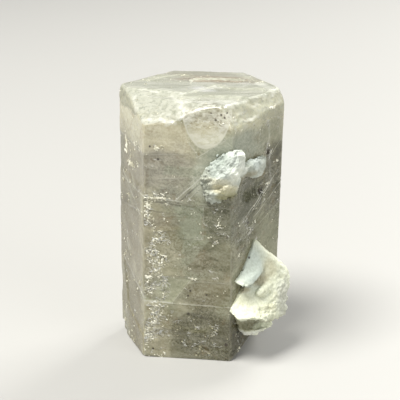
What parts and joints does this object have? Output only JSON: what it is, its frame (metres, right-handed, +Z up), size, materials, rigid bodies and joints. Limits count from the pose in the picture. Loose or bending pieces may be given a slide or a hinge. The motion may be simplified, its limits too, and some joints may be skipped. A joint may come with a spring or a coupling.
{
  "type": "apatite crystal",
  "caption": "Stubby six-sided apatite prism, pale greenish grey and see-through in part, standing on its flat base, with growths of white and cream matrix on its front right.",
  "frame": {"origin": "on the flat base, on the axis of the prism", "axes": "+Z up along the crystal's long axis, -Y out of its front side face, +X to the right, where the lower growth of matrix stands out"},
  "size_m": [0.0337, 0.0305, 0.05],
  "materials": {
    "apatite": "cloudy and see-through in part, glassy faces with frosted chips, fine ledges and pits",
    "white_matrix": "dull bluish white, ridged, with a yellow-brown lower edge",
    "cream_matrix": "dull cream white, broken and crumbly, browned in its hollows"
  },
  "bodies": {
    "root": {"apatite_crystal": "apatite", "matrix_patch": "white_matrix", "matrix_flange": "cream_matrix"}
  },
  "joints": []
}
